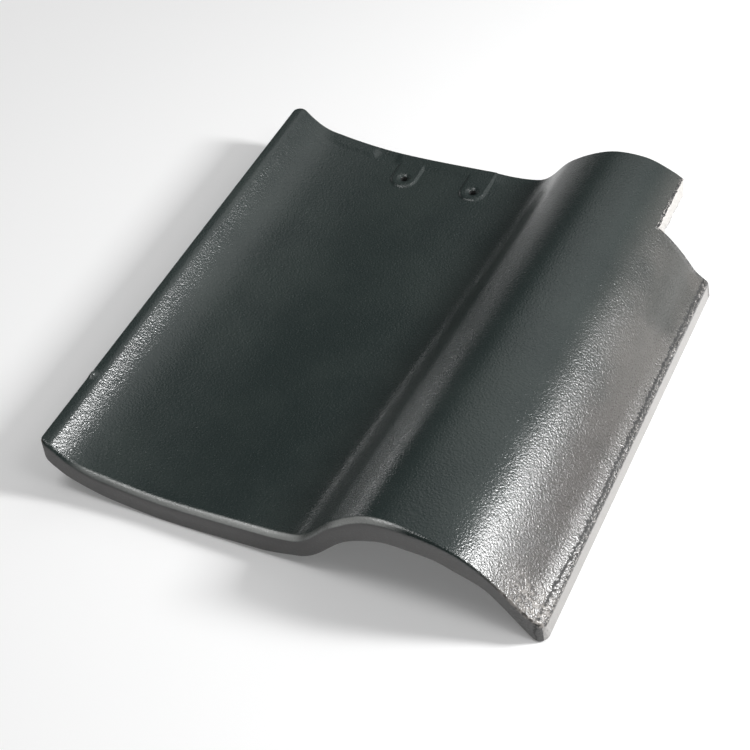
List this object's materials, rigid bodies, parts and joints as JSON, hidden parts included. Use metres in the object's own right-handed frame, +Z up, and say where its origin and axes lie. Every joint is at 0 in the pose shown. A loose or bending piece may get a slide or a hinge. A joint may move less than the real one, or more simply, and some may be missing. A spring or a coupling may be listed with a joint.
{
  "type": "roof tile",
  "caption": "S-shaped glazed clay roof tile: a shallow pan with a raised lip, a tapering roll that covers the next tile, nail holes and a notched head corner.",
  "frame": {"origin": "middle of the tile's bounding box at the floor it lies on", "axes": "+X across the tile to the roll's foot, +Y along the tile to the head, +Z up"},
  "size_m": [0.29, 0.31, 0.0558],
  "materials": {
    "glaze": "semi-gloss dark green-charcoal glaze with a fine orange-peel skin"
  },
  "bodies": {
    "root": {"roof_tile": "glaze"}
  },
  "joints": []
}
